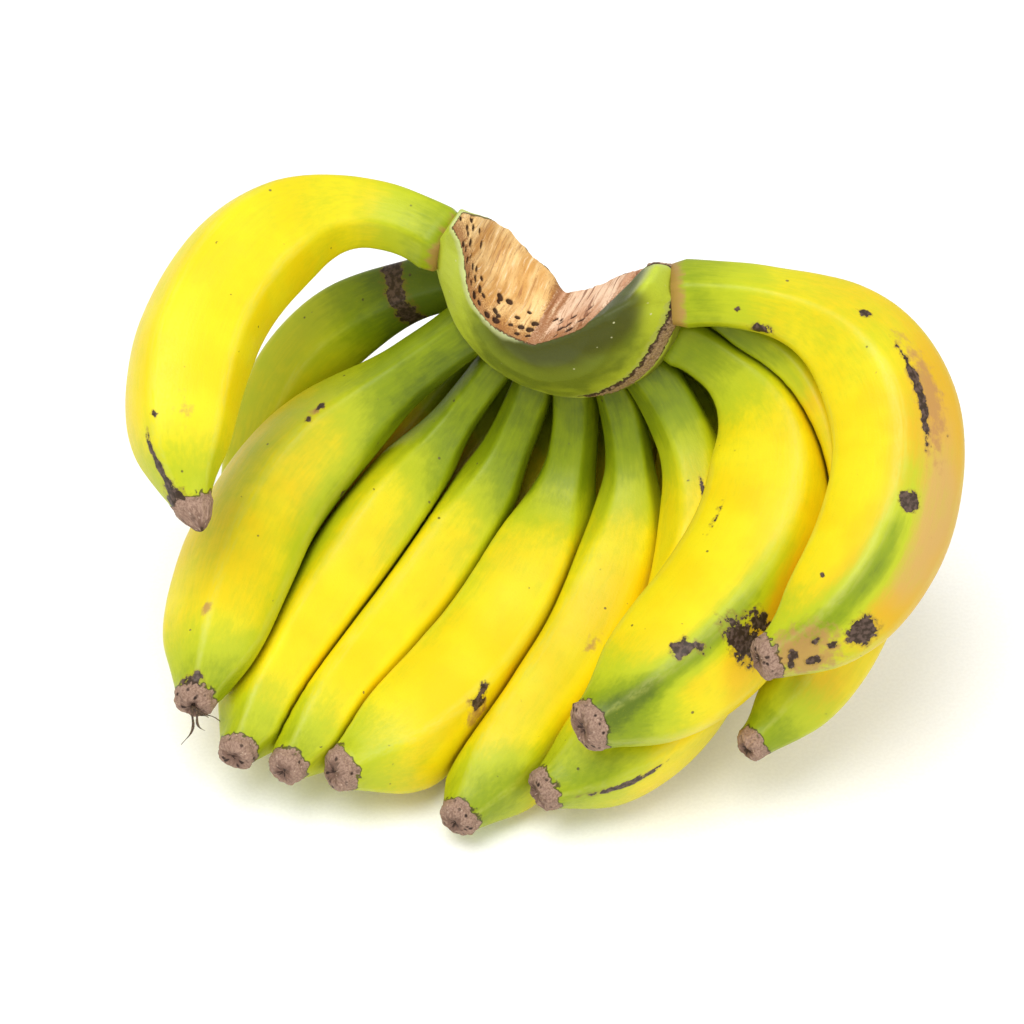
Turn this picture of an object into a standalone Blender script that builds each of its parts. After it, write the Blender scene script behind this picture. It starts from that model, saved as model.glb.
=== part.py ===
"""A hand of bananas lying on a flat surface: 17 fingers in two rows, grown on one cut crown.

Metres, +Z up. The origin is on the surface, under the middle of the hand.
"""

import math

import bmesh
import bpy
import numpy as np
from mathutils import Matrix, Vector

MM = 0.001
COLLECTION = "banana_hand"

# Crown, the cushion of stalk that every finger grows from. Its section is given as the distance from the
# stalk's axis, as a share of the crown's radius, and the place along the stalk, from front to back
CROWN_CENTRE = (8.2 * MM, 52.1 * MM, 117.0 * MM)
CROWN_RADIUS = 38.5 * MM
STALK_YAW = math.radians(18.0)
STALK_PITCH = math.radians(10.0)
CROWN_FRONT = 33.0 * MM
CROWN_BACK = -17.0 * MM
CROWN_SECTION = (
    (0.00, 33.0 * MM),
    (0.40, 33.0 * MM),
    (0.58, 30.0 * MM),
    (0.78, 23.0 * MM),
    (0.93, 16.5 * MM),
    (1.00, 12.0 * MM),
    (1.00, -17.0 * MM),
    (0.86, -14.0 * MM),
    (0.70, -10.0 * MM),
    (0.55, -6.0 * MM),
    (0.40, -4.0 * MM),
    (0.25, -1.0 * MM),
    (0.00, 2.0 * MM),
)
CROWN_STEPS = 48

# The crown's two arms, above its middle, lean forward, and their back does so more than their front, most of
# all near the tips of the arms. The back bulges below the left arm
ARMS_FROM = -8.0 * MM
FRONT_LEAN = 0.15
BACK_LEAN = 0.85
ARM_TIPS_FROM = 14.0 * MM
ARM_TIPS_LEAN = 1.0
BULGE_PLACE = (-20.5 * MM, 1.0 * MM)
BULGE_SPREAD = 8.0 * MM
BULGE_DEPTH = 10.0 * MM

# The knife's two curved cuts in the crown meet in a sharp edge along the stalk. Their outline is given
# across and up from the stalk's axis, and is open upwards
NOTCH_OUTLINE = (
    (-60.0 * MM, 90.0 * MM),
    (-33.0 * MM, 33.0 * MM),
    (-28.5 * MM, 24.0 * MM),
    (-25.5 * MM, 17.0 * MM),
    (-24.0 * MM, 9.0 * MM),
    (-21.5 * MM, 2.0 * MM),
    (-16.5 * MM, -3.0 * MM),
    (-9.0 * MM, -6.5 * MM),
    (-1.5 * MM, -7.8 * MM),
    (7.0 * MM, -3.0 * MM),
    (14.5 * MM, 3.0 * MM),
    (21.5 * MM, 8.5 * MM),
    (25.5 * MM, 15.0 * MM),
    (30.0 * MM, 22.0 * MM),
    (36.0 * MM, 31.0 * MM),
    (60.0 * MM, 90.0 * MM),
)
NOTCH_CORNERS = (0, 8, 15)
NOTCH_SMOOTHNESS = 3
NOTCH_REACH = 90.0 * MM

# Fingers: how far along the stalk each row is rooted, and how thick a finger is along its length, as the
# share of its body's thickness and the share of its neck's, which are added
UPPER_ROW = 4.0 * MM
LOWER_ROW = -9.0 * MM
SIDES = 15
CORNERS = 5
FLATNESS = 0.06
FINGER_STATIONS = (
    (0.00, 0.00, 1.03),
    (0.06, 0.00, 0.97),
    (0.12, 0.00, 1.00),
    (0.17, 0.05, 0.95),
    (0.22, 0.20, 0.80),
    (0.27, 0.43, 0.57),
    (0.33, 0.71, 0.29),
    (0.39, 0.89, 0.11),
    (0.46, 0.98, 0.02),
    (0.53, 1.00, 0.00),
    (0.60, 1.00, 0.00),
    (0.67, 1.00, 0.00),
    (0.73, 0.97, 0.00),
    (0.79, 0.92, 0.00),
    (0.845, 0.84, 0.00),
    (0.89, 0.72, 0.00),
    (0.925, 0.57, 0.00),
    (0.955, 0.44, 0.00),
    (0.98, 0.36, 0.00),
    (1.00, 0.33, 0.00),
)
AXIS_STEPS = 60
TIP_DOME = 0.3

# Gaps between two fingers that press on each other, and between a finger's root and the crown
PRESS_GAP = 1.0 * MM
PRESS_STEPS = 20
ROOT_GAP = 0.5 * MM

# Each finger: its angle on the crown in degrees; its tip's place in mm, across and forward from the
# crown's centre and up from the surface; which way the tip points, in degrees left of straight ahead and
# up; the thickness of its body and its neck in mm, and how long the neck is, where 1 is a long one; how far it
# keeps its first and last directions in mm; and how far its root leans forward in degrees
UPPER_FINGERS = (
    (166, (-110.5, -85, 98), (-25, -35), (35.5, 20, 1), (62, 54), -14),
    (221, (-113, -111, 42), (12, -5), (37, 18, 1), (86, 70), 20),
    (241, (-101, -119, 28), (18, 5), (35, 13, 1), (46, 60), 5),
    (259, (-86, -123, 26), (24, 8), (35, 13, 1), (60, 50), 10),
    (277.5, (-71, -122.5, 25), (50, 14), (41, 13.5, 1), (54, 60), 5),
    (296.5, (-35, -132, 13), (31, 0), (37, 13.5, 1), (66, 54), 12),
    (316, (-10, -128, 22), (60, 0), (39, 14, 1), (62, 64), 12),
    (341, (3, -128, 51), (56, 4), (46, 17, 0.45), (74, 52), -5),
    (9, (53.5, -121, 73), (68, 0), (38.5, 20, 1), (92, 50), -13),
)
LOWER_FINGERS = (
    (203, (-100.5, -53, 26.5), (0, -13), (27, 13.5, 0.6), (70, 62), 2),
    (233, (-96, -67, 18), (20, 0), (34, 14, 1), (60, 55), -20),
    (253, (-80, -60, 13), (18, 0), (34, 13, 1), (62, 52), -25),
    (272, (-50, -46, 11), (18, 0), (34, 13, 1), (61, 44), -25),
    (290, (-15, -43, 11), (10, 0), (34, 13, 1), (61, 42), -25),
    (309, (12, -56, 12), (20, 0), (34, 13, 1), (63, 50), -20),
    (330, (42, -54, 16), (30, 0), (35, 14, 1), (65, 45), -10),
    (355, (52, -121, 34), (45, -5), (31, 15, 1), (90, 44), 10),
)

SKIN = (0.62, 0.60, 0.04)
SKIN_ROUGHNESS = 0.45
CROWN_SKIN = (0.30, 0.36, 0.08)
CROWN_ROUGHNESS = 0.6
MERGE_DISTANCE = 0.01 * MM


def stalk_frame():
    """Unit vectors of the crown: along the stalk, to the right of it, and up."""
    level = math.cos(STALK_PITCH)
    along = Vector((-math.sin(STALK_YAW) * level, -math.cos(STALK_YAW) * level, math.sin(STALK_PITCH)))
    right = Vector((0.0, 0.0, 1.0)).cross(along).normalized()
    return along, right, along.cross(right)


ALONG, RIGHT, UP = stalk_frame()


def outward(angle):
    """The direction away from the stalk's axis at an angle on the crown."""
    return RIGHT * math.cos(angle) + UP * math.sin(angle)


def leaning(height, along):
    """How far forward the crown's arms have moved a place at this height and this far along the stalk."""
    share = (along - CROWN_BACK) / (CROWN_FRONT - CROWN_BACK)
    arm = max(height - ARMS_FROM, 0.0) * (BACK_LEAN + (FRONT_LEAN - BACK_LEAN) * share)
    return arm + max(height - ARM_TIPS_FROM, 0.0) * ARM_TIPS_LEAN * (1.0 - share)


def bulging(across, height, along):
    """How far back the crown's back bulges at a place, which fades towards its front."""
    away = math.hypot(across - BULGE_PLACE[0], height - BULGE_PLACE[1]) / BULGE_SPREAD
    share = (along - CROWN_BACK) / (CROWN_FRONT - CROWN_BACK)
    return BULGE_DEPTH * math.exp(-away * away / 2) * max(1.0 - 2.0 * share, 0.0)


def heading(left, up):
    """A direction so many radians left of straight ahead, which is -Y, and so many up."""
    return Vector((-math.sin(left) * math.cos(up), -math.cos(left) * math.cos(up), math.sin(up)))


class Finger:
    """The axis of one finger, as points evenly spaced along it, and its thickness at each."""

    def __init__(self, name, row_offset, spec):
        angle, tip, pointing, thickness, reach, lean = spec
        angle, lean = math.radians(angle), math.radians(lean)
        self.name = name
        self.body, self.neck = thickness[0] * MM / 2, thickness[1] * MM / 2
        self.stations = [(place_of(share, thickness[2]), *parts) for share, *parts in FINGER_STATIONS]
        first = outward(angle) * math.cos(lean) + ALONG * math.sin(lean)
        offset = row_offset + leaning(CROWN_RADIUS * math.sin(angle), row_offset)
        root = outward(angle) * CROWN_RADIUS + ALONG * offset + Vector(CROWN_CENTRE)
        last = heading(math.radians(pointing[0]), math.radians(pointing[1]))
        end = Vector(tip) * MM + Vector((CROWN_CENTRE[0], CROWN_CENTRE[1], 0.0))
        points = [root, root + first * reach[0] * MM, end - last * reach[1] * MM, end]
        self.axis = evenly_spaced(bezier(np.array(points), AXIS_STEPS), AXIS_STEPS)
        self.first = np.array(first)
        self.spread = np.linspace(0.0, 1.0, AXIS_STEPS)
        places, of_body, of_neck = zip(*self.stations)
        of_body, of_neck = np.interp(self.spread, places, of_body), np.interp(self.spread, places, of_neck)
        self.radii = self.body * of_body + self.neck * of_neck

    def clearance(self, points):
        """How far each point is outside this finger's round form, before anything presses on it."""
        start, step = self.axis[:-1], np.diff(self.axis, axis=0)
        rel = points[:, None] - start
        share = np.clip((rel * step).sum(-1) / (step * step).sum(-1), 0.0, 1.0)
        away = np.linalg.norm(rel - share[..., None] * step, axis=-1)
        radii = self.radii[:-1] * (1 - share) + self.radii[1:] * share
        return (away - radii).min(axis=1)


def place_of(share, neck_length):
    """Where a station is on a finger whose neck may be shorter than the longest, which leaves its tip alone."""
    return share * (1.0 - (1.0 - neck_length) * (1.0 - share) ** 2)


def bezier(corners, count):
    t = np.linspace(0.0, 1.0, count)[:, None]
    weights = ((1 - t) ** 3, 3 * t * (1 - t) ** 2, 3 * t * t * (1 - t), t**3)
    return sum(weight * corner for weight, corner in zip(weights, corners))


def evenly_spaced(points, count):
    run = np.concatenate([[0.0], np.cumsum(np.linalg.norm(np.diff(points, axis=0), axis=1))])
    at = np.linspace(0.0, run[-1], count)
    return np.stack([np.interp(at, run, points[:, k]) for k in range(3)], axis=1)


def frames_along(axis):
    """Two directions square to the axis at each point, which turn no more than the axis does."""
    tangents = np.gradient(axis, axis=0)
    tangents /= np.linalg.norm(tangents, axis=1)[:, None]
    inner = np.array(ALONG)
    inners = []
    for tangent in tangents:
        inner = inner - tangent * inner.dot(tangent)
        inner /= np.linalg.norm(inner)
        inners.append(inner)
    inners = np.array(inners)
    return inners, np.cross(tangents, inners)


def section(share):
    """A five-cornered outline of mean radius 1, which is rounder towards both ends of the finger."""
    turn = np.arange(SIDES) * 2 * math.pi / SIDES
    flat = FLATNESS * math.sin(math.pi * share)
    return turn, 1.0 + flat * np.cos(CORNERS * turn)


def rings_of(finger, others):
    """Rings of points round the finger, pressed flat where it meets a neighbour or the surface below."""
    inners, crosses = frames_along(finger.axis)
    rings = []
    for share, of_body, of_neck in finger.stations:
        centre, inner, cross = (
            np.array([np.interp(share, finger.spread, values[:, k]) for k in range(3)])
            for values in (finger.axis, inners, crosses)
        )
        turn, outline = section(share)
        spokes = np.cos(turn)[:, None] * inner + np.sin(turn)[:, None] * cross
        spokes = spokes * (outline * (of_body * finger.body + of_neck * finger.neck))[:, None]
        rings.append(pressed(finger, others, centre, spokes, at_root=share == 0.0))
    return rings


def pressed(finger, others, centre, spokes, at_root):
    """The ends of the spokes, drawn in until each is nearer to its own finger than to any other, and not
    below z = 0. At the root they are on the crown."""

    def ends(shares):
        points = centre + spokes * shares[:, None]
        return on_crown(points, finger.first) if at_root else points

    def fits(shares):
        points = ends(shares)
        own = finger.clearance(points) + PRESS_GAP
        inside = points[:, 2] >= 0.0
        for other in others:
            inside &= other.clearance(points) >= own
        return inside

    low, high = np.zeros(SIDES), np.ones(SIDES)
    whole = fits(high)
    for _ in range(PRESS_STEPS):
        middle = (low + high) / 2
        good = fits(middle)
        low = np.where(good, middle, low)
        high = np.where(good, high, middle)
    return ends(np.where(whole, 1.0, low))


def on_crown(points, direction):
    """The points moved along a direction on to the crown's round band, a gap clear of it."""
    rel = points - np.array(CROWN_CENTRE)
    along = np.array(ALONG)
    flat = rel - np.outer(rel @ along, along)
    way = direction - along * direction.dot(along)
    a, b = way @ way, flat @ way
    c = (flat * flat).sum(axis=1) - (CROWN_RADIUS + ROOT_GAP) ** 2
    return points + ((-b + np.sqrt(b * b - a * c)) / a)[:, None] * direction


def loft(name, rings, ends):
    """A closed mesh through rings of equal count, with a fan on each end round its middle point."""
    bm = bmesh.new()
    loops = [[bm.verts.new(point) for point in ring] for ring in rings]
    for near, far in zip(loops, loops[1:]):
        for k in range(SIDES):
            bm.faces.new((near[k], near[k - 1], far[k - 1], far[k]))
    for loop, end, order in ((loops[0], ends[0], 1), (loops[-1], ends[1], -1)):
        middle = bm.verts.new(end)
        for k in range(SIDES):
            bm.faces.new((middle, loop[k - 1], loop[k])[::order])
    bmesh.ops.recalc_face_normals(bm, faces=bm.faces)
    mesh = bpy.data.meshes.new(name)
    bm.to_mesh(mesh)
    bm.free()
    mesh.shade_smooth()
    return mesh


def principled(name, colour, roughness):
    material = bpy.data.materials.new(name)
    material.use_nodes = True
    shader = material.node_tree.nodes["Principled BSDF"]
    shader.inputs["Base Color"].default_value = (*colour, 1.0)
    shader.inputs["Roughness"].default_value = roughness
    shader.inputs["Metallic"].default_value = 0.0
    return material


def add_finger(collection, finger, others):
    near = [other for other in others if other is not finger]
    rings = rings_of(finger, near)
    root = on_crown(rings[0].mean(axis=0, keepdims=True), finger.first)[0]
    tip = rings[-1].mean(axis=0) + (finger.axis[-1] - finger.axis[-2]) * TIP_DOME
    mesh = loft(finger.name, rings, (root, tip))
    mesh.materials.append(principled(finger.name + "_skin", SKIN, SKIN_ROUGHNESS))
    collection.objects.link(bpy.data.objects.new(finger.name, mesh))


def crown_place():
    turn = Matrix((RIGHT, UP, ALONG)).transposed().to_4x4()
    return Matrix.Translation(CROWN_CENTRE) @ turn


def add_crown(collection, cutters):
    """The section turned round the stalk's axis, its arms leant forward, and the notch cut out."""
    mesh = bpy.data.meshes.new("crown_section")
    section_points = [(share * CROWN_RADIUS, 0.0, along) for share, along in CROWN_SECTION]
    mesh.from_pydata(section_points, [(k, k + 1) for k in range(len(section_points) - 1)], [])
    turned = bpy.data.objects.new("crown_turned", mesh)
    collection.objects.link(turned)
    spin = turned.modifiers.new("turn", "SCREW")
    spin.axis = "Z"
    spin.steps = spin.render_steps = CROWN_STEPS
    spin.use_merge_vertices = True
    spin.merge_threshold = MERGE_DISTANCE
    body = evaluated_mesh(turned, "crown")
    for vertex in body.vertices:
        across, height, along = vertex.co
        vertex.co.z += leaning(height, along) - bulging(across, height, along)
    body.materials.append(principled("crown_skin", CROWN_SKIN, CROWN_ROUGHNESS))
    crown = bpy.data.objects.new("crown", body)
    collection.objects.link(crown)
    crown.matrix_world = crown_place()
    cut = crown.modifiers.new("notch", "BOOLEAN")
    cut.operation = "DIFFERENCE"
    cut.solver = "EXACT"
    cut.object = add_notch(cutters)


def evaluated_mesh(obj, name):
    """The object's mesh with its modifiers applied and its loose caps welded. The object is removed."""
    bpy.context.view_layer.update()
    mesh = bpy.data.meshes.new_from_object(obj.evaluated_get(bpy.context.evaluated_depsgraph_get()))
    mesh.name = name
    bm = bmesh.new()
    bm.from_mesh(mesh)
    bmesh.ops.remove_doubles(bm, verts=bm.verts, dist=MERGE_DISTANCE)
    bmesh.ops.recalc_face_normals(bm, faces=bm.faces)
    bm.to_mesh(mesh)
    bm.free()
    bpy.data.objects.remove(obj)
    return mesh


def add_notch(cutters):
    """The piece that the knife took out of the crown, with its sharp edge along the stalk."""
    curve = bpy.data.curves.new("notch_cutter", "CURVE")
    curve.dimensions = "2D"
    curve.fill_mode = "BOTH"
    curve.extrude = NOTCH_REACH
    curve.resolution_u = NOTCH_SMOOTHNESS
    outline = curve.splines.new("BEZIER")
    outline.bezier_points.add(len(NOTCH_OUTLINE) - 1)
    for k, (point, place) in enumerate(zip(outline.bezier_points, NOTCH_OUTLINE)):
        point.co = (*place, 0.0)
        point.handle_left_type = point.handle_right_type = "VECTOR" if k in NOTCH_CORNERS else "AUTO"
    outline.use_cyclic_u = True
    drawn = bpy.data.objects.new("notch_outline", curve)
    cutters.objects.link(drawn)
    cutter = bpy.data.objects.new("notch_cutter", evaluated_mesh(drawn, "notch_cutter"))
    cutters.objects.link(cutter)
    cutter.matrix_world = crown_place()
    cutter.hide_render = True
    cutter.display_type = "WIRE"
    return cutter


def new_collection(name):
    collection = bpy.data.collections.new(name)
    bpy.context.scene.collection.children.link(collection)
    return collection


def main():
    for obj in list(bpy.data.objects):
        bpy.data.objects.remove(obj)
    collection = new_collection(COLLECTION)
    cutters = new_collection(COLLECTION + "_cutters")
    fingers = [Finger(f"banana_upper_{k}", UPPER_ROW, spec) for k, spec in enumerate(UPPER_FINGERS, 1)]
    fingers += [Finger(f"banana_lower_{k}", LOWER_ROW, spec) for k, spec in enumerate(LOWER_FINGERS, 1)]
    for finger in fingers:
        add_finger(collection, finger, fingers)
    add_crown(collection, cutters)


main()
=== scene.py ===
"""The looks of a hand of bananas: ridged, marked fingers with dried tips, and a crown with two knife cuts.

Lengths are in millimetres and angles in degrees, until a mesh, a light or the camera is made.
"""

import math

import bmesh
import bpy
import numpy as np
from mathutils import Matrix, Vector, noise


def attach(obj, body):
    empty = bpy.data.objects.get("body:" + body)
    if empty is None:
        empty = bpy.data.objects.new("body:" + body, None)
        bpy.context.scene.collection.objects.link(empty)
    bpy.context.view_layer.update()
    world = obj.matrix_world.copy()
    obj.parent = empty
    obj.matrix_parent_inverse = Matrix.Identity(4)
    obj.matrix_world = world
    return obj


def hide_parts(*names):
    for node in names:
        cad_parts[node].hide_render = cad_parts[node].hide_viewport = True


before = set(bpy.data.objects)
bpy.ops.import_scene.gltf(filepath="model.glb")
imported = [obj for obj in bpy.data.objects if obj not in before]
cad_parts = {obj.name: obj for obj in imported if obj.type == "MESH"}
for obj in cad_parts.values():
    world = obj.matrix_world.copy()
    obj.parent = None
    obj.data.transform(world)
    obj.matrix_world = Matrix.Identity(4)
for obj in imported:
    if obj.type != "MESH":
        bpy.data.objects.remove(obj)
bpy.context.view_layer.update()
MM = 0.001

# Crown, as in the solids: its notch's outline is given to the right and up from the crown's centre
CROWN_CENTRE = np.array((8.2, 52.1, 117.0))
CROWN_RADIUS = 38.5
STALK_YAW = 18.0
STALK_PITCH = 10.0
CROWN_FRONT = 33.0
CROWN_BACK = -17.0
ARMS_FROM = -8.0
FRONT_LEAN = 0.15
BACK_LEAN = 0.85
ARM_TIPS_FROM = 14.0
NOTCH_LEFT = ((-1.5, -7.8), (-9, -6.5), (-16.5, -3), (-21.5, 2), (-24, 9))
NOTCH_LEFT += ((-25.5, 17), (-28.5, 24), (-33, 33))
NOTCH_RIGHT = ((-1.5, -7.8), (7, -3), (14.5, 3), (21.5, 8.5), (25.5, 15), (30, 22), (36, 31))
UPPER_ROW = 4.0
LOWER_ROW = -9.0

# Fingers, as in the solids, with their values in the order that Finger explains
FINGERS = {
    "banana_upper_1": (166, (-110.5, -85, 98), (-25, -35), (35.5, 20, 1), (62, 54), -14),
    "banana_upper_2": (221, (-113, -111, 42), (12, -5), (37, 18, 1), (86, 70), 20),
    "banana_upper_3": (241, (-101, -119, 28), (18, 5), (35, 13, 1), (46, 60), 5),
    "banana_upper_4": (259, (-86, -123, 26), (24, 8), (35, 13, 1), (60, 50), 10),
    "banana_upper_5": (277.5, (-71, -122.5, 25), (50, 14), (41, 13.5, 1), (54, 60), 5),
    "banana_upper_6": (296.5, (-35, -132, 13), (31, 0), (37, 13.5, 1), (66, 54), 12),
    "banana_upper_7": (316, (-10, -128, 22), (60, 0), (39, 14, 1), (62, 64), 12),
    "banana_upper_8": (341, (3, -128, 51), (56, 4), (46, 17, 0.45), (74, 52), -5),
    "banana_upper_9": (9, (53.5, -121, 73), (68, 0), (38.5, 20, 1), (92, 50), -13),
    "banana_lower_1": (203, (-100.5, -53, 26.5), (0, -13), (27, 13.5, 0.6), (70, 62), 2),
    "banana_lower_2": (233, (-96, -67, 18), (20, 0), (34, 14, 1), (60, 55), -20),
    "banana_lower_3": (253, (-80, -60, 13), (18, 0), (34, 13, 1), (62, 52), -25),
    "banana_lower_4": (272, (-50, -46, 11), (18, 0), (34, 13, 1), (61, 44), -25),
    "banana_lower_5": (290, (-15, -43, 11), (10, 0), (34, 13, 1), (61, 42), -25),
    "banana_lower_6": (309, (12, -56, 12), (20, 0), (34, 13, 1), (63, 50), -20),
    "banana_lower_7": (330, (42, -54, 16), (30, 0), (35, 14, 1), (65, 45), -10),
    "banana_lower_8": (355, (52, -121, 34), (45, -5), (31, 15, 1), (90, 44), 10),
}

# Thickness along a finger: share of its length, share of the body's thickness, share of the neck's
STATIONS = (
    (0.00, 0.00, 1.03), (0.06, 0.00, 0.97), (0.12, 0.00, 1.00), (0.17, 0.05, 0.95),
    (0.22, 0.20, 0.80), (0.27, 0.43, 0.57), (0.33, 0.71, 0.29), (0.39, 0.89, 0.11),
    (0.46, 0.98, 0.02), (0.53, 1.00, 0.00), (0.60, 1.00, 0.00), (0.67, 1.00, 0.00),
    (0.73, 0.97, 0.00), (0.79, 0.92, 0.00), (0.845, 0.84, 0.00), (0.89, 0.72, 0.00),
    (0.925, 0.57, 0.00), (0.955, 0.44, 0.00), (0.98, 0.36, 0.00), (1.00, 0.33, 0.00),
)

# Grid of a finger: points round it, and rings of each stretch of its length
SIDES = 84
RINGS = ((0.00, 14), (0.12, 66), (0.90, 34))
CAP_RINGS = 9
LINE_STEPS = 400
TURN_STEPS = 200
AXIS_STEPS = 40

# Five ridges of a finger: angles, and shares of the outline's depth on the neck, body and tip
RIDGES = 5
RIDGE_UNEVEN = 7.0
RIDGE_SHARPNESS = 5.0
RIDGE_SPREAD = 9.0
NECK_DEPTH = 0.75
BODY_SHALLOWER = 0.25
TIP_DEEPER = 0.15

# Press of one finger on another: the gap in millimetres, the others as shares of the radius
PRESS_GAP = 0.5
PRESS_ROUNDING = 0.16
REACH = 1.35
NEAR_SIDE = 0.6
FREE = 9.0
MEETING_STEPS = 5
SWELLING = 0.025
SMALLEST = 0.05

# Ends of a finger: how many times the solids' necks its own are, its root's sink and taper, its dried length
LOWER_NECKS = 1.4
UPPER_NECKS = {
    "banana_upper_4": 1.1,
    "banana_upper_5": 1.1,
    "banana_upper_7": 1.25,
    "banana_upper_8": 1.12,
}
ROOT_SINK = 3.0
ROOT_TAPER = 0.12
DRY_LENGTH = 3.2


def stalk_frame():
    """The directions along the stalk, to the right of it and up from it."""
    yaw, pitch = math.radians(STALK_YAW), math.radians(STALK_PITCH)
    along = np.array((-math.sin(yaw) * math.cos(pitch), -math.cos(yaw) * math.cos(pitch), math.sin(pitch)))
    right = np.cross((0.0, 0.0, 1.0), along)
    right /= np.linalg.norm(right)
    return along, right, np.cross(along, right)


ALONG, RIGHT, UP = stalk_frame()


def leaning(height, along):
    """How far forward the crown's arms are moved at this height and this far along the stalk."""
    share = (along - CROWN_BACK) / (CROWN_FRONT - CROWN_BACK)
    arm = np.maximum(height - ARMS_FROM, 0.0) * (BACK_LEAN + (FRONT_LEAN - BACK_LEAN) * share)
    return arm + np.maximum(height - ARM_TIPS_FROM, 0.0) * (1.0 - share)


def heading(left, up):
    """The direction turned so far to the left of the viewer and so far up."""
    left, up = math.radians(left), math.radians(up)
    return np.array((-math.sin(left) * math.cos(up), -math.cos(left) * math.cos(up), math.sin(up)))


def unit(vectors):
    return vectors / np.linalg.norm(vectors, axis=-1, keepdims=True)


def smoothstep(low, high, values):
    share = np.clip((values - low) / (high - low), 0.0, 1.0)
    return share * share * (3 - 2 * share)


def smooth_min(a, b, width):
    """The smaller of two, rounded where they are nearly equal."""
    share = np.clip(0.5 + 0.5 * (b - a) / width, 0.0, 1.0)
    return b + (a - b) * share - width * share * (1 - share)


def noise_at(points, scale, seed):
    """Smooth noise from about -1 to 1 at each point, with features about as large as scale."""
    shift = Vector((17.3 * seed, 5.1 * seed, 9.7 * seed))
    return np.array([noise.noise(Vector(point) / scale + shift) for point in points])


def through(x, y, at):
    """A smooth curve through the values y at the places x, read at some places."""
    slope = np.gradient(y, x)
    k = np.clip(np.searchsorted(x, at, side="right") - 1, 0, len(x) - 2)
    step = x[k + 1] - x[k]
    t = (at - x[k]) / step
    start = (1 + 2 * t) * (1 - t) ** 2 * y[k] + t * (1 - t) ** 2 * step * slope[k]
    return start + t * t * (3 - 2 * t) * y[k + 1] + t * t * (t - 1) * step * slope[k + 1]


class Finger:
    """The middle line of one finger and its round form.

    Its values are the angle of its root on the crown; the place of its tip, across and forward from the
    crown's centre and up from the surface; the tip's direction, left and up; the thickness of body and neck,
    and the neck's length as a share of the usual one; the curve's reach at both ends; the lean of its root.
    """

    def __init__(self, name, spec):
        angle, tip, pointing, thickness, reach, lean = spec
        turn, lean = math.radians(angle), math.radians(lean)
        row = UPPER_ROW if "upper" in name else LOWER_ROW
        self.name = name
        self.radius = thickness[0] / 2
        self.neck = thickness[1] / 2 * (UPPER_NECKS.get(name, 1.0) if row == UPPER_ROW else LOWER_NECKS)
        self.neck_length = thickness[2]
        outward = RIGHT * math.cos(turn) + UP * math.sin(turn)
        self.first = outward * math.cos(lean) + ALONG * math.sin(lean)
        offset = row + leaning(CROWN_RADIUS * math.sin(turn), row)
        root = CROWN_CENTRE + outward * CROWN_RADIUS + ALONG * offset
        end = np.array(tip) + (CROWN_CENTRE[0], CROWN_CENTRE[1], 0.0)
        corners = (root, root + self.first * reach[0], end - heading(*pointing) * reach[1], end)
        t = np.linspace(0.0, 1.0, LINE_STEPS)[:, None]
        weights = ((1 - t) ** 3, 3 * t * (1 - t) ** 2, 3 * t * t * (1 - t), t**3)
        line = sum(weight * corner for weight, corner in zip(weights, corners))
        run = np.concatenate([[0.0], np.cumsum(np.linalg.norm(np.diff(line, axis=0), axis=1))])
        self.length = run[-1]
        self.line = line
        self.run = run / run[-1]
        self.axis = self.at(np.linspace(0.0, 1.0, AXIS_STEPS))
        self.radii = self.radii_at(np.linspace(0.0, 1.0, AXIS_STEPS))

    def at(self, shares):
        """The points of the middle line at these shares of its length."""
        return np.stack([np.interp(shares, self.run, self.line[:, k]) for k in range(3)], axis=-1)

    def radii_at(self, shares):
        """The radius at these shares of the length."""
        places, body, neck = np.array(STATIONS).T
        places = places * (1.0 - (1.0 - self.neck_length) * (1.0 - places) ** 2)
        return self.radius * through(places, body, shares) + self.neck * through(places, neck, shares)

    def clearance(self, points):
        """How far each point is outside the finger's round form."""
        start, step = self.axis[:-1], np.diff(self.axis, axis=0)
        rel = points[:, None] - start
        share = np.clip(np.einsum("psk,sk->ps", rel, step) / (step * step).sum(-1), 0.0, 1.0)
        rel -= share[..., None] * step
        away = np.sqrt(np.einsum("psk,psk->ps", rel, rel))
        return (away - self.radii[:-1] - share * np.diff(self.radii)).min(axis=1)

    def frames(self, shares):
        """The middle line's direction and two square to it at each share, turning no more than it does."""
        steps = np.linspace(0.0, 1.0, TURN_STEPS)
        tangents = unit(np.gradient(self.at(steps), axis=0))
        inner, inners = ALONG, []
        for tangent in tangents:
            inner = unit(inner - tangent * inner.dot(tangent))
            inners.append(inner)
        inners = np.array(inners)
        inner = unit(np.stack([np.interp(shares, steps, inners[:, k]) for k in range(3)], axis=-1))
        tangent = unit(np.stack([np.interp(shares, steps, tangents[:, k]) for k in range(3)], axis=-1))
        return tangent, inner, np.cross(tangent, inner)


def limits(finger, others, centres, spokes, radii):
    """How many times its length each spoke may have before it meets a neighbour's side or the surface."""
    bases = np.repeat(centres, SIDES, axis=0)
    limit = np.full(len(spokes), FREE)
    down = spokes[:, 2] < -0.01
    limit[down] = bases[down, 2] / -spokes[down, 2]
    for other in others:
        close = np.repeat(other.clearance(centres) < 2 * REACH * radii, SIDES)
        facing = other.clearance(bases[close] + spokes[close]) < NEAR_SIDE * finger.radius
        near = np.flatnonzero(close)[facing]
        if len(near):
            limit[near] = np.minimum(limit[near], meeting(finger, other, bases[near], spokes[near]))
    return limit


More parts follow.
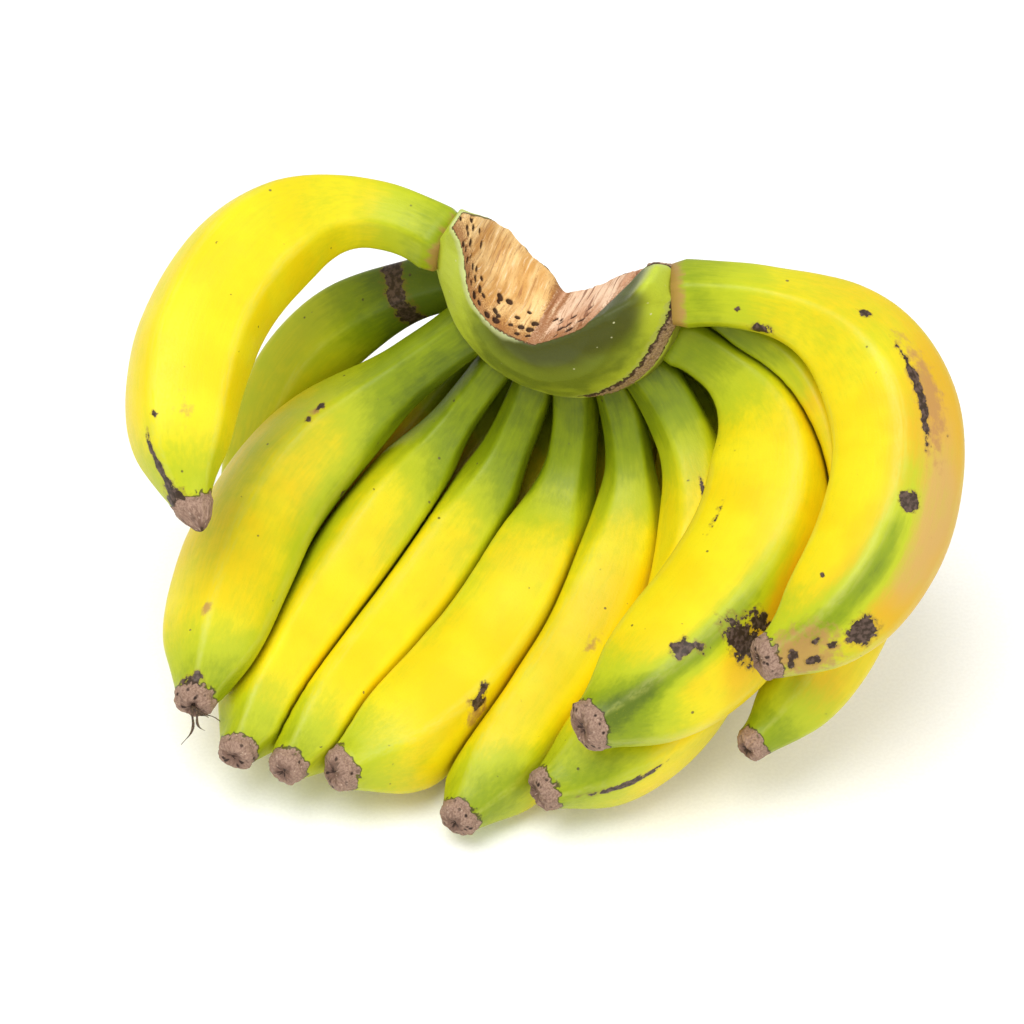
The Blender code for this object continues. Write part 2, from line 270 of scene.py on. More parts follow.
def meeting(finger, other, centres, spokes):
    """The share of each spoke where it is as far from its own finger as from the other, less the gap."""

    def room(shares):
        points = centres + spokes * shares[:, None]
        return other.clearance(points) - finger.clearance(points) - PRESS_GAP

    low, high = np.zeros(len(spokes)), np.full(len(spokes), REACH)
    at_low, at_high = room(low), room(high)
    for _ in range(MEETING_STEPS):
        share = np.clip(at_low / np.maximum(at_low - at_high, 1e-6), 0.05, 0.95)
        middle = low + (high - low) * share
        at_middle = room(middle)
        ahead = at_middle > 0
        low, at_low = np.where(ahead, middle, low), np.where(ahead, at_middle, at_low)
        high, at_high = np.where(ahead, high, middle), np.where(ahead, at_high, at_middle)
    fall = np.maximum(at_low - at_high, 1e-6)
    return np.where(at_high < 0, low + (high - low) * at_low / fall, REACH + 3 * at_high / fall)


def outline(seed, first_ridge):
    """A soft five-sided outline of mean radius 1 at each of the finger's sides, and how near a ridge is."""
    uneven = np.random.default_rng(seed).uniform(-RIDGE_UNEVEN, RIDGE_UNEVEN, RIDGES)
    uneven[0] = 0.0
    corners = np.sort((first_ridge + np.arange(RIDGES) * 360.0 / RIDGES + uneven) % 360)
    corners = np.concatenate([[corners[-1] - 360], corners, [corners[0] + 360]])
    turn = np.arange(360.0)
    k = np.searchsorted(corners, turn, side="right") - 1
    half = (corners[k + 1] - corners[k]) / 2
    from_middle = turn - corners[k] - half
    flat = np.cos(np.radians(half)) / np.cos(np.radians(from_middle))
    away = np.minimum(turn - corners[k], corners[k + 1] - turn)
    spread = np.exp(-0.5 * (np.minimum(turn, 360 - turn) / RIDGE_SHARPNESS) ** 2)
    flat = np.fft.irfft(np.fft.rfft(flat) * np.fft.rfft(spread / spread.sum()), 360)
    ridge = np.exp(-((away / RIDGE_SPREAD) ** 2))
    sides = np.arange(SIDES) * 360.0 / SIDES
    wrapped = np.append(turn, 360.0)
    flat = np.interp(sides, wrapped, np.append(flat, flat[0]))
    return flat / flat.mean(), np.interp(sides, wrapped, np.append(ridge, ridge[0]))


def ridge_depth(shares):
    """How much of the five-sided outline shows: most on the neck, less on the body, none at the tip."""
    depth = NECK_DEPTH - BODY_SHALLOWER * smoothstep(0.25, 0.5, shares)
    depth += TIP_DEEPER * smoothstep(0.8, 0.92, shares)
    return depth * (1 - smoothstep(0.95, 0.985, shares))


def ring_shares():
    """The share of the length at which each ring is."""
    starts = [start for start, _ in RINGS] + [1.0]
    pieces = [np.linspace(a, b, n, endpoint=False) for a, b, (_, n) in zip(starts, starts[1:], RINGS)]
    return np.concatenate([*pieces, [1.0]])


def finger_mesh(finger, fingers, seed, first_ridge, point):
    """The fine finger: rings from its root in the crown to its dried tip, which a rough cap closes."""
    shares = ring_shares()
    centres = finger.at(shares)
    tangent, inner, cross = finger.frames(shares)
    turn = np.arange(SIDES) * 2 * math.pi / SIDES
    flat, ridge = outline(seed, first_ridge)
    section = 1 + (flat - 1) * ridge_depth(shares)[:, None]
    radii = finger.radii_at(shares)
    ways = np.cos(turn)[:, None] * inner[:, None] + np.sin(turn)[:, None] * cross[:, None]
    spokes = (ways * radii[:, None, None]).reshape(-1, 3)
    bases = np.repeat(centres, SIDES, axis=0)
    limit = limits(finger, [other for other in fingers if other is not finger], centres, spokes, radii)
    limit = limit.reshape(len(shares), SIDES)
    swell = noise_at((ways.reshape(-1, 3) * 9 + bases * 0.35), 9.0, seed).reshape(limit.shape)
    size = np.maximum(smooth_min(section * (1 + SWELLING * swell), limit, PRESS_ROUNDING), SMALLEST)
    points = centres[:, None] + ways * (radii[:, None] * size)[..., None]
    points[0] += (centres[0] - points[0]) * ROOT_TAPER - finger.first * ROOT_SINK
    fields = {
        "along": np.repeat(shares[:, None] * finger.length, SIDES, axis=1),
        # how near a ridge is, the mask of the painted ridge highlight, fainter on the neck
        "ridge": ridge * (0.25 + 0.75 * smoothstep(0.22, 0.42, shares))[:, None],
        "turn": np.repeat(np.degrees(turn)[None], len(shares), axis=0),
        "reach": np.repeat(radii[:, None], SIDES, axis=1),
        # where a neighbour presses close: the mask of the painted warm glow in the clefts
        "cleft": smoothstep(1.6, 1.0, limit),
        "middle": np.zeros((len(shares), SIDES)),
    }
    skin = np.stack(
        [
            radii[:, None] * np.cos(turn) + 40.0 * seed,
            radii[:, None] * np.sin(turn),
            np.repeat(shares[:, None] * finger.length, SIDES, axis=1),
        ],
        axis=-1,
    )
    dry = smoothstep(DRY_LENGTH + 0.5, DRY_LENGTH - 0.5, (1.0 - shares) * finger.length)
    roughen(points, ways, dry, seed)
    points, skin, fields = add_cap(points, skin, fields, tangent[-1], seed, point)
    fields["dry"] = DRY_LENGTH - (finger.length - fields["along"])
    return points, skin, fields


def roughen(points, ways, dry, seed):
    """The dried end of a finger is lumpy, with a small step where the peel stops."""
    rows = np.flatnonzero(dry > 0)
    flat = points[rows].reshape(-1, 3)
    lumps = noise_at(flat, 2.6, seed + 40) * 0.75 + noise_at(flat, 1.1, seed + 80) * 0.3 - 0.25
    points[rows] += ways[rows] * (lumps.reshape(len(rows), SIDES) * dry[rows][:, None])[..., None]


def add_cap(points, skin, fields, ahead, seed, point):
    """Rings that close the tip, each nearer its middle, pitted and hollow there, or drawn out to a point."""
    rim, middle = points[-1], points[-1].mean(axis=0)
    for k in range(1, CAP_RINGS + 1):
        share = k / (CAP_RINGS + 1)
        ring = rim + (middle - rim) * share
        rough = noise_at(ring, 2.2, seed + 40) * 0.8 + noise_at(ring, 0.9, seed + 80) * 0.35
        rise = 1.3 * math.sin(share * math.pi) + rough * min(1.0, 3 * share) + point * share
        points = np.concatenate([points, (ring + ahead * rise[:, None])[None]])
        moved = skin[-1].copy()
        moved[:, :2] = skin[-1, :, :2].mean(axis=0) + (skin[-1, :, :2] - skin[-1, :, :2].mean(axis=0)) * 0.9
        skin = np.concatenate([skin, moved[None]])
        fields = {name: np.concatenate([values, values[-1:]]) for name, values in fields.items()}
        fields["middle"][-1] = share
    return points, skin, fields


def grid_object(name, points, skin, fields):
    """A closed mesh from rings of points, with its fields as attributes."""
    rings, sides = points.shape[:2]
    mesh = bpy.data.meshes.new(name)
    first, last = rings * sides, rings * sides + 1
    verts = np.concatenate([points.reshape(-1, 3), points[0].mean(0)[None], points[-1].mean(0)[None]]) * MM
    faces = []
    for j in range(sides):
        n = (j + 1) % sides
        for ring in range(0, (rings - 1) * sides, sides):
            faces.append((ring + n, ring + j, ring + sides + j, ring + sides + n))
        faces.append((first, j, n))
        faces.append((last, (rings - 1) * sides + n, (rings - 1) * sides + j))
    mesh.from_pydata(verts.tolist(), [], faces)
    mesh.validate()
    for field, values in fields.items():
        flat = np.concatenate([values.reshape(-1), [values[0].mean(), values[-1].mean()]])
        mesh.attributes.new(field, "FLOAT", "POINT").data.foreach_set("value", flat.astype(np.float32))
    flat = np.concatenate([skin.reshape(-1, 3), skin[0].mean(0)[None], skin[-1].mean(0)[None]])
    vectors = mesh.attributes.new("skin", "FLOAT_VECTOR", "POINT")
    vectors.data.foreach_set("vector", flat.astype(np.float32).reshape(-1))
    mesh.shade_smooth()
    piece = bpy.data.objects.new(name, mesh)
    bpy.context.scene.collection.objects.link(piece)
    return piece


class Shader:
    """A material's node tree, built with short calls. Each call gives the socket of its result."""

    def __init__(self, name):
        self.material = bpy.data.materials.new(name)
        self.material.use_nodes = True
        self.tree = self.material.node_tree
        self.principled = self.tree.nodes["Principled BSDF"]

    def node(self, kind, inputs=(), output=0, **settings):
        node = self.tree.nodes.new("ShaderNode" + kind)
        for key, value in settings.items():
            setattr(node, key, value)
        for key, value in dict(inputs).items():
            self.feed(node.inputs[key], value)
        return node.outputs[output]

    def feed(self, socket, value):
        if isinstance(value, bpy.types.NodeSocket):
            self.tree.links.new(value, socket)
        elif socket.type == "RGBA":
            socket.default_value = (*value, 1.0)
        else:
            socket.default_value = value

    def field(self, name, vector=False):
        """An attribute of the mesh."""
        return self.node("Attribute", output=1 if vector else 2, attribute_name=name)

    def math(self, operation, a, b):
        return self.node("Math", {0: a, 1: b}, operation=operation)

    def range(self, value, low, high, to_low=0.0, to_high=1.0):
        inputs = {0: value, 1: low, 2: high, 3: to_low, 4: to_high}
        return self.node("MapRange", inputs, interpolation_type="SMOOTHSTEP")

    def mix(self, share, a, b, blend="MIX"):
        return self.node("Mix", {0: share, 6: a, 7: b}, output=2, data_type="RGBA", blend_type=blend)

    def stretched(self, vector, scale):
        return self.node("VectorMath", {0: vector, 1: scale}, operation="MULTIPLY")

    def noise(self, vector, scale, detail, roughness=0.5):
        inputs = {"Vector": vector, "Scale": scale, "Detail": detail, "Roughness": roughness}
        return self.node("TexNoise", inputs)

    def dots(self, vector, scale):
        return self.node("TexVoronoi", {"Vector": vector, "Scale": scale})

    def finish(self, colour, roughness, height, strength, distance):
        self.feed(self.principled.inputs["Base Color"], colour)
        self.feed(self.principled.inputs["Roughness"], roughness)
        bump = self.node("Bump", {"Height": height, "Strength": strength, "Distance": distance})
        self.feed(self.principled.inputs["Normal"], bump)
        return self.material


# Colours of the peel, with a painted highlight for its ridges and a painted warm glow for its clefts
YELLOW = (0.74, 0.62, 0.006)
DEEP_YELLOW = (0.74, 0.56, 0.002)
ORANGE = (0.62, 0.36, 0.01)
TAN = (0.54, 0.33, 0.09)
LIME = (0.42, 0.47, 0.01)
GREEN = (0.215, 0.285, 0.004)
DEEP_GREEN = (0.095, 0.14, 0.008)
# Painted highlight along the ridges
RIDGE_HIGHLIGHT = (0.66, 0.64, 0.15)
# Painted warm glow: multiplies the peel brighter and more orange in the clefts where fingers press together
CLEFT_PAINTED_GLOW = (1.18, 1.12, 0.60)
FLECK = (0.45, 0.36, 0.01)

# Colours of stains, scars and the dried end
STAIN = (0.40, 0.20, 0.07)
SCAR_HALO = (0.22, 0.13, 0.02)
SCAR_DARK = (0.035, 0.02, 0.01)
SCAR_ASH = (0.10, 0.062, 0.045)
DRY_EDGE = (0.04, 0.022, 0.01)
CORK = (0.21, 0.125, 0.086)
PALE_CORK = (0.38, 0.25, 0.18)
CORK_MIDDLE = (0.11, 0.055, 0.038)
CORK_HOLE = (0.025, 0.013, 0.009)
CORK_PIT = (0.03, 0.016, 0.012)
CORK_GRAIN = (0.58, 0.43, 0.32)
SHINE = 0.24
BUMP_DEPTH = 0.4


def peel_material():
    """Waxy peel with fine streaks along it, its marks, and a rough dried end."""
    s = Shader("banana_peel")
    skin = s.field("skin", vector=True)
    broad = s.noise(skin, 0.045, 3.0, 0.5)
    soft = s.noise(skin, 0.14, 3.0, 0.55)
    streaks = s.noise(s.stretched(skin, (1.0, 1.0, 0.12)), 0.9, 3.0, 0.6)
    fine = s.noise(skin, 1.6, 3.0, 0.65)
    ridge = s.field("ridge")
    colour = peel_colour(s, broad, soft, streaks, ridge)
    # painted warm glow in the clefts between fingers
    colour = s.mix(s.field("cleft"), colour, CLEFT_PAINTED_GLOW, "MULTIPLY")
    colour = s.mix(s.range(fine, 0.55, 0.8, 0.0, 0.2), colour, FLECK)
    colour = peel_marks(s, skin, colour)
    colour, dry = dried_end(s, skin, colour, fine, soft)
    roughness = s.math("ADD", s.range(fine, 0.3, 0.7, 0.36, 0.48), s.math("MULTIPLY", dry, 0.35))
    height = s.math("ADD", s.math("MULTIPLY", streaks, 0.45), s.math("MULTIPLY", fine, 0.3))
    height = s.math("ADD", height, s.math("MULTIPLY", s.math("MULTIPLY", dry, fine), 2.2))
    s.principled.inputs["Specular IOR Level"].default_value = SHINE
    return s.finish(colour, roughness, height, 0.35, BUMP_DEPTH * MM)


def peel_colour(s, broad, soft, streaks, ridge):
    """Yellow where ripe, through lime to deep green where not, orange on some sides, with a painted highlight
    along the ridges.
    """
    green = s.math("ADD", s.field("green"), s.range(soft, 0.3, 0.7, -0.05, 0.05))
    green = s.math("ADD", green, s.range(streaks, 0.3, 0.7, -0.04, 0.04))
    warm = s.math("ADD", s.field("warm"), s.range(broad, 0.35, 0.75, -0.1, 0.2))
    yellow = s.mix(s.range(broad, 0.35, 0.65), YELLOW, DEEP_YELLOW)
    colour = s.mix(s.range(warm, 0.05, 1.0), yellow, ORANGE)
    colour = s.mix(s.range(warm, 0.9, 1.6), colour, TAN)
    colour = s.mix(s.range(green, -0.05, 0.42), colour, LIME)
    colour = s.mix(s.range(green, 0.38, 0.76), colour, GREEN)
    colour = s.mix(s.range(green, 0.72, 1.05), colour, DEEP_GREEN)
    # painted highlight: a pale line along each ridge, broken by the streaks
    ridge_highlight = s.math("MULTIPLY", s.range(ridge, 0.45, 0.98), s.range(streaks, 0.35, 0.65, 0.04, 0.2))
    return s.mix(ridge_highlight, colour, RIDGE_HIGHLIGHT)


def peel_marks(s, skin, colour):
    """The colour with freckles, soft stains and dark scars."""
    rare = s.range(s.noise(skin, 0.22, 1.0), 0.56, 0.62)
    speck = s.math("MULTIPLY", s.range(s.dots(skin, 0.16), 0.10, 0.055), rare)
    ragged = s.noise(skin, 0.38, 4.0, 0.62)
    stain = s.math("ADD", s.field("stain"), s.range(ragged, 0.25, 0.75, -0.4, 0.4))
    colour = s.mix(s.range(stain, 0.0, 0.8, 0.0, 0.8), colour, STAIN)
    scar = s.math("ADD", s.field("scar"), s.range(ragged, 0.25, 0.75, -0.4, 0.4))
    halo = s.math("MULTIPLY", s.range(scar, -0.25, 0.15), 0.5)
    colour = s.mix(halo, colour, SCAR_HALO)
    marked = s.math("MAXIMUM", s.range(scar, 0.12, 0.2), s.math("MULTIPLY", speck, 0.8))
    ash = s.mix(s.range(s.noise(skin, 0.8, 2.0), 0.4, 0.65), SCAR_DARK, SCAR_ASH)
    return s.mix(marked, colour, ash)


def dried_end(s, skin, colour, fine, soft):
    """The corky end: a dark line where the peel stops, a paler rim and a dark pitted middle with pale grains.

    Gives the colour with it, and where it is dry.
    """
    dry = s.math("ADD", s.field("dry"), s.range(s.noise(skin, 0.35, 2.0), 0.3, 0.7, -0.9, 0.9))
    edge = s.math("MULTIPLY", s.range(dry, -0.6, -0.1), s.range(dry, 0.6, 0.1))
    colour = s.mix(s.math("MULTIPLY", edge, 0.85), colour, DRY_EDGE)
    dry = s.range(dry, 0.0, 0.35)
    cork = s.mix(s.range(fine, 0.3, 0.7), CORK, PALE_CORK)
    middle = s.math("ADD", s.field("middle"), s.range(s.noise(skin, 0.5, 3.0), 0.3, 0.7, -0.25, 0.25))
    cork = s.mix(s.range(middle, 0.25, 0.6, 0.0, 0.6), cork, CORK_MIDDLE)
    cork = s.mix(s.range(middle, 0.75, 0.95, 0.0, 0.85), cork, CORK_HOLE)
    pits = s.range(s.dots(skin, 0.42), 0.34, 0.16)
    cork = s.mix(s.math("MULTIPLY", pits, s.range(soft, 0.4, 0.6, 0.25, 1.0)), cork, CORK_PIT)
    cork = s.mix(s.range(s.dots(skin, 0.5), 0.15, 0.08, 0.0, 0.6), cork, CORK_GRAIN)
    return s.mix(dry, colour, cork), dry


# Green that fades into every body and every root
BODY_GREEN = 0.1
ROOT_GREEN = 0.14

# Peel of every finger, and what is different on some
LOOK = {
    "ridge": 0,  # angle of its first ridge
    "neck": 0.26,  # where its green neck ends, as a share of its length
    "tip": 0.90,  # where its green tip starts
    "neck_green": 0.76,
    "tip_green": 0.55,
    "green": 0.0,  # all over
    "warm": 0.0,  # how orange it is all over
    "point": 0.0,  # how far its dried end is drawn out
}
LOOKS = {
    "banana_upper_1": {
        "ridge": 92, "neck": 0.11, "neck_green": 0.48, "tip_green": 0.42, "warm": -0.1, "point": 7.0,
    },
    "banana_upper_2": {"ridge": 330, "neck": 0.25, "neck_green": 0.64, "warm": -0.25},
    "banana_upper_3": {"ridge": 321, "warm": -0.1},
    "banana_upper_4": {"ridge": 311, "warm": -0.1},
    "banana_upper_5": {"ridge": 323, "tip": 0.92, "tip_green": 0.5},
    "banana_upper_6": {"ridge": 300, "neck": 0.22},
    "banana_upper_7": {"ridge": 281, "neck": 0.17},
    "banana_upper_8": {"ridge": 308, "neck": 0.16, "neck_green": 0.62},
    "banana_upper_9": {"ridge": 313, "neck": 0.12, "neck_green": 0.50, "tip": 0.9, "tip_green": 0.45},
    "banana_lower_1": {"ridge": 10, "green": 0.30, "warm": 0.2},
    "banana_lower_2": {"warm": 0.8},
    "banana_lower_3": {"warm": 0.7},
    "banana_lower_8": {"ridge": 315, "neck": 0.22, "green": 0.05, "warm": 0.4, "tip_green": 0.7},
}

# Patches on the peel: where along the finger and round it, half the length and half the width, how much
PATCHES = {
    "banana_upper_1": {
        "green": ((0.4, 60, 40.0, 12.0, 0.1),),
        "stain": ((0.0, 0, 1.0, 60.0, 0.9), (0.83, 60, 4.0, 3.0, 0.35)),
        "scar": ((0.925, 105, 9.5, 1.5, 1.1), (0.975, 108, 4.0, 4.5, 1.2), (0.841, 90, 1.2, 1.2, 1.0)),
    },
    "banana_upper_2": {
        "green": ((0.48, 312, 60.0, 11.0, 0.75), (0.45, 62, 50.0, 11.0, 0.26)),
        "stain": ((0.853, 43, 2.6, 2.4, 1.1), (0.338, 46, 5.0, 2.0, 0.9)),
        "scar": (
            (0.321, 47, 1.8, 1.4, 1.0), (0.358, 43, 1.5, 1.3, 1.0), (0.427, 317, 2.2, 1.8, 1.1),
            (0.978, 43, 2.5, 4.0, 0.7),
        ),
    },
    "banana_upper_3": {
        "green": ((0.36, 322, 28.0, 9.0, 0.4), (0.55, 62, 34.0, 8.0, 0.45)),
    },
    "banana_upper_4": {
        "green": ((0.34, 310, 26.0, 8.0, 0.35), (0.55, 55, 40.0, 7.0, 0.4)),
    },
    "banana_upper_5": {
        "green": ((0.55, 45, 40.0, 7.0, 0.3),),
        "warm": ((0.68, 292, 26.0, 8.0, 0.25),),
        "stain": ((0.735, 308, 6.0, 6.0, 1.0),),
        "scar": ((0.7, 322, 2.2, 1.8, 1.1), (0.728, 316, 2.8, 2.6, 1.0)),
    },
    "banana_upper_6": {
        "green": ((0.5, 40, 40.0, 8.0, 0.25), (0.88, 300, 14.0, 9.0, 0.45)),
        "warm": ((0.66, 20, 22.0, 8.0, 0.35),),
        "stain": ((0.557, 330, 6.0, 2.2, 0.6),),
    },
    "banana_upper_7": {
        "green": ((0.86, 300, 16.0, 9.0, 0.45),),
        "warm": ((0.72, 300, 18.0, 9.0, 0.4),),
        "scar": ((0.285, 330, 8.0, 0.9, 1.0), (0.87, 268, 11.0, 1.5, 1.2)),
    },
    "banana_upper_8": {
        "green": ((0.74, 304, 34.0, 4.5, 0.85), (0.94, 290, 12.0, 12.0, 0.35)),
        "warm": ((0.62, 275, 36.0, 11.0, 0.75), (0.45, 330, 30.0, 9.0, 0.25)),
        "scar": (
            (0.5, 6, 9.0, 0.9, 1.0), (0.805, 315, 3.6, 3.2, 1.2), (0.78, 306, 1.8, 2.6, 1.0),
            (0.705, 284, 5.0, 9.0, 1.0), (0.66, 286, 3.0, 5.0, 0.9),
        ),
    },
    "banana_upper_9": {
        "green": ((0.78, 303, 30.0, 5.0, 0.85), (0.33, 320, 20.0, 14.0, 0.15)),
        "warm": ((0.64, 268, 46.0, 17.0, 1.55),),
        "stain": ((0.0, 0, 1.6, 60.0, 1.6), (0.47, 281, 20.0, 6.0, 1.2), (0.945, 278, 13.0, 11.0, 1.2)),
        "scar": (
            (0.46, 291, 14.0, 1.7, 1.3), (0.64, 300, 3.2, 3.4, 1.3), (0.853, 268, 4.6, 5.2, 1.2),
            (0.92, 290, 1.5, 1.5, 1.0), (0.935, 262, 2.0, 1.5, 1.0), (0.96, 282, 1.6, 2.0, 1.1),
            (0.968, 262, 1.5, 1.4, 1.0), (0.9, 274, 1.6, 1.2, 0.9), (0.68, 268, 1.0, 1.0, 0.9),
            (0.15, 17, 4.2, 1.8, 1.1), (0.309, 291, 2.0, 1.6, 1.0), (0.103, 351, 1.0, 1.0, 1.0),
            (0.829, 343, 1.1, 1.1, 1.0), (0.6, 350, 0.9, 0.9, 1.0),
        ),
    },
    "banana_lower_1": {
        "scar": ((0.144, 10, 3.6, 110.0, 1.0),),
    },
}


def peel_fields(finger, fields, look, patches):
    """How green, orange, stained and scarred the peel is at each point.

    Green and warm patches fade out softly. Stains and scars have an edge, which noise makes ragged.
    """
    share = fields["along"] / finger.length
    neck, tip = look["neck"], look["tip"]
    green = (look["neck_green"] - BODY_GREEN) * (1.0 - smoothstep(neck - 0.12, neck + 0.12, share))
    green += BODY_GREEN * (1.0 - smoothstep(neck, neck + 0.35, share))
    green += ROOT_GREEN * (1.0 - smoothstep(0.0, 0.18, share))
    green = np.maximum(green, look["tip_green"] * smoothstep(tip - 0.10, tip + 0.09, share))
    fields["green"] = green + look["green"]
    fields["warm"] = np.full_like(share, look["warm"])
    fields["stain"] = np.full_like(share, -1.0)
    fields["scar"] = np.full_like(share, -1.0)
    for field, rows in patches.items():
        for place, angle, long, wide, much in rows:
            ahead = (share - place) * finger.length / long
            aside = np.radians((fields["turn"] - angle + 180) % 360 - 180) * fields["reach"] / wide
            if field in ("green", "warm"):
                fields[field] += much * np.exp(-(ahead**2) - aside**2)
            else:
                fields[field] = np.maximum(fields[field], much * (1.0 - np.hypot(ahead, aside)))


def add_fingers():
    """One piece for each finger, all with the same peel."""
    fingers = [Finger(name, spec) for name, spec in FINGERS.items()]
    material = peel_material()
    for seed, finger in enumerate(fingers, 1):
        look = {**LOOK, **LOOKS.get(finger.name, {})}
        points, skin, fields = finger_mesh(finger, fingers, seed, look["ridge"], look["point"])
        peel_fields(finger, fields, look, PATCHES.get(finger.name, {}))
        piece = grid_object("peel_" + finger.name, points, skin, fields)
        piece.data.materials.append(material)
        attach(piece, "root")
        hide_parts(finger.name)


# Dried threads of the flower on one tip: each one's way out in degrees, its length and how it curls
FLOWER_FINGER = "banana_upper_2"
FLOWER_THREADS = ((245, 10.0, 1.4), (285, 14.0, -0.9), (300, 8.0, 1.2), (320, 11.0, 0.8))
THREAD_SIDES = 6
THREAD_RINGS = 26
THREAD_RADIUS = 0.34
THREAD_WIDTH = 1.6
THREAD_HEIGHT = 0.7
THREAD_FALL = 1.5
THREAD_DARK = (0.03, 0.018, 0.01)
THREAD_PALE = (0.12, 0.07, 0.035)


def flower_material():
    """Dark dry fibre."""
    s = Shader("dried_flower")
    grain = s.noise(s.field("skin", vector=True), 2.0, 3.0, 0.6)
    colour = s.mix(s.range(grain, 0.35, 0.65), THREAD_DARK, THREAD_PALE)
    return s.finish(colour, 0.8, grain, 0.6, 0.2 * MM)


def add_flower_threads():
    """Thin dry threads that hang from the middle of a tip and curl as they fall."""
    finger = Finger(FLOWER_FINGER, FINGERS[FLOWER_FINGER])
    start = finger.at(np.array([1.0]))[0]
    material = flower_material()
    share = np.linspace(0.0, 1.0, THREAD_RINGS)
    sides = np.arange(THREAD_SIDES) * 2 * math.pi / THREAD_SIDES
    for k, (way, length, curl) in enumerate(FLOWER_THREADS, 1):
        turn = math.radians(way) + curl * (1.6 * share + 0.5 * np.sin(7 * share + k))
        fall = -THREAD_FALL * share
        steps = unit(np.stack([np.cos(turn), np.sin(turn), fall], axis=-1)) * length / (THREAD_RINGS - 1)
        path = start + np.cumsum(steps, axis=0)
        ahead = unit(np.gradient(path, axis=0))
        aside = unit(np.cross(ahead, (0.0, 0.0, 1.0)))
        over = np.cross(aside, ahead)
        radius = THREAD_RADIUS * (1.0 - 0.7 * share) * (1.0 + 0.3 * np.sin(11 * share + k))
        wide = np.cos(sides)[:, None] * aside[:, None] * THREAD_WIDTH
        high = np.sin(sides)[:, None] * over[:, None] * THREAD_HEIGHT
        points = path[:, None] + (wide + high) * radius[:, None, None]
        piece = grid_object(f"dried_flower_{k}", points, points, {})
        piece.data.materials.append(material)
        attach(piece, "root")


# Fine form of the crown. Each arm's tip: its span across, where it starts going up, how often it is smoothed
CROWN_GRAIN = 0.5
EDGE_SMOOTHING = 8
ARM_LOWERED = 3.8
FAR_EDGE_RAISED = 5.0
ARM_TIPS = (((20.0, 60.0), 6.0, 70), ((-60.0, -27.0), 15.0, 14))

# Marks on the crown: vessel ends, dark edge and scorch of the cuts, raised lip below them with a painted
# highlight on the left, scar round the rim
PIT_ROWS = (3.8, 7.6, 11.6, 16.0)
PIT_STEP = 3.4
PIT_FIRST = 2.5
EDGE_LINE = 0.7
SCORCH_DEPTH = 7.5
CORNER_HALF = 1.5
LIP_DEPTH = 2.6
LIP_RISE = 0.5
PIT_DROP = 1.3
CUT_DROP = 0.4
SCAR_RISE = 0.8
BACK_RISE = 0.3
BACK_ROUGH = 0.8
RIM_PLACE = 18.0
RIM_HALF = 2.7
FACE_RIM = 12.0
LONGEST_CUT = 62.0

# Colours of the crown's cuts
TAN_DARK = (0.58, 0.3, 0.08)
TAN_PALE = (0.84, 0.57, 0.24)
PINK_DARK = (0.56, 0.3, 0.17)
PINK_PALE = (0.82, 0.58, 0.4)
FIBRE_PALE = (0.92, 0.74, 0.48)
FIBRE_DARK = (0.34, 0.15, 0.06)
CRACK = (0.20, 0.075, 0.035)
SCORCH = (0.30, 0.12, 0.035)
GRAIN_DARK = (0.26, 0.11, 0.05)
CUT_EDGE = (0.075, 0.032, 0.014)
VESSEL = (0.03, 0.01, 0.005)

# Colours of its skin, its dry back and its scar, and the painted shade, painted shadow and painted highlights
# on its skin
SKIN = (0.148, 0.19, 0.018)
SKIN_LIME = (0.46, 0.54, 0.04)
# Painted shade below the cuts and over the right arm
SKIN_SHADE = (0.05, 0.056, 0.012)
# Painted highlight on the left lip below the cut
LIP_HIGHLIGHT = (0.56, 0.6, 0.3)
# Painted highlight along the face's border
BORDER_HIGHLIGHT = (0.52, 0.56, 0.16)
# Painted shadow on the side band under the face's rim
UNDERSIDE_SHADOW = (0.06, 0.055, 0.012)
SKIN_DARK = (0.09, 0.09, 0.02)
SKIN_DOT = (0.62, 0.62, 0.4)
OLD_DARK = (0.22, 0.13, 0.06)
OLD_PALE = (0.40, 0.28, 0.14)
OLD_STAIN = (0.13, 0.085, 0.035)
# Painted highlight beside the rim's scar
SCAR_SIDE_HIGHLIGHT = (0.40, 0.44, 0.12)
SCAR_LINE = (0.055, 0.03, 0.016)
BARK_DARK = (0.20, 0.12, 0.07)
BARK_PALE = (0.42, 0.29, 0.18)


def crown_surface():
    """The crown's solid as an even fine mesh with softened edges and worn tips."""
    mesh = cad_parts["crown"].data.copy()
    bm = bmesh.new()
    bm.from_mesh(mesh)
    bmesh.ops.remove_doubles(bm, verts=bm.verts, dist=0.01 * MM)
    bm.to_mesh(mesh)
    bm.free()
    rough = bpy.data.objects.new("crown_rough", mesh)
    bpy.context.scene.collection.objects.link(rough)
    remesh = rough.modifiers.new("even", "REMESH")
    remesh.mode = "VOXEL"
    remesh.voxel_size = CROWN_GRAIN * MM
    soften = rough.modifiers.new("soften", "SMOOTH")
    soften.iterations = EDGE_SMOOTHING
    graph = bpy.context.evaluated_depsgraph_get()
    fine = bpy.data.meshes.new_from_object(rough.evaluated_get(graph))
    bpy.data.objects.remove(rough)
    fine.materials.clear()
    round_arm_tips(fine)
    return fine


def round_arm_tips(mesh):
    """Wears down the sharp ends of the crown's two arms."""
    place = crown_place(read_vectors(mesh.vertices, "co") / MM)
    bm = bmesh.new()
    bm.from_mesh(mesh)
    bm.verts.ensure_lookup_table()
    every_axis = {"use_axis_x": True, "use_axis_y": True, "use_axis_z": True}
    for (low, high), ground, times in ARM_TIPS:
        inside = (place[:, 0] > low) & (place[:, 0] < high) & (place[:, 1] > ground)
        verts = [bm.verts[k] for k in np.flatnonzero(inside)]
        for _ in range(times):
            bmesh.ops.smooth_vert(bm, verts=verts, factor=0.5, **every_axis)
    bm.to_mesh(mesh)
    bm.free()


